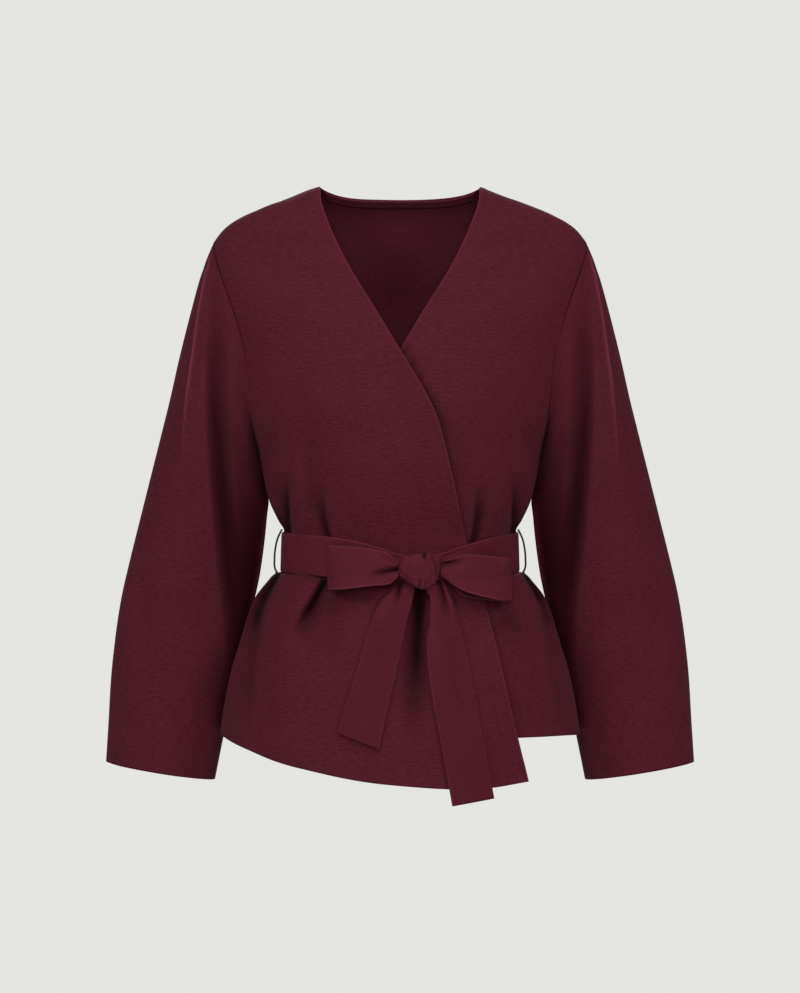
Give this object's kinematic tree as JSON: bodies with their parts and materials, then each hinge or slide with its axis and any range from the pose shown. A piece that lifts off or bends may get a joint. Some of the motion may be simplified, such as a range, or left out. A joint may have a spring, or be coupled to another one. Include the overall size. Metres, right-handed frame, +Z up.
{
  "type": "wrap jacket",
  "caption": "Crepe wrap jacket with a V neck, long wide sleeves, a dipping front hem and its own tied belt, filled out as worn.",
  "frame": {"origin": "midway between the two neck points of the shoulder seams, on the cloth's inner face, where the wearer's shoulders carry it", "axes": "+Z up along the body, -Y out of the front, +X to the wearer's left"},
  "size_m": [0.654, 0.2911, 0.6655],
  "materials": {
    "back": "matte crepe",
    "front_right": "matte crepe",
    "front_left": "matte crepe",
    "sleeve_right": "matte crepe",
    "sleeve_left": "matte crepe",
    "belt_band": "matte crepe",
    "neck_facing": "matte crepe",
    "bow_loop_right": "matte crepe",
    "bow_loop_left": "matte crepe",
    "belt_tail_right": "matte crepe",
    "belt_tail_left": "matte crepe",
    "belt_knot": "matte crepe",
    "belt_loop_right": "matte crepe",
    "belt_loop_left": "matte crepe"
  },
  "bodies": {
    "root": {"back": "back", "front_right": "front_right", "front_left": "front_left", "sleeve_right": "sleeve_right", "sleeve_left": "sleeve_left", "belt_band": "belt_band", "neck_facing": "neck_facing", "bow_loop_right": "bow_loop_right", "bow_loop_left": "bow_loop_left", "belt_tail_right": "belt_tail_right", "belt_tail_left": "belt_tail_left", "belt_knot": "belt_knot", "belt_loop_right": "belt_loop_right", "belt_loop_left": "belt_loop_left"}
  },
  "joints": []
}
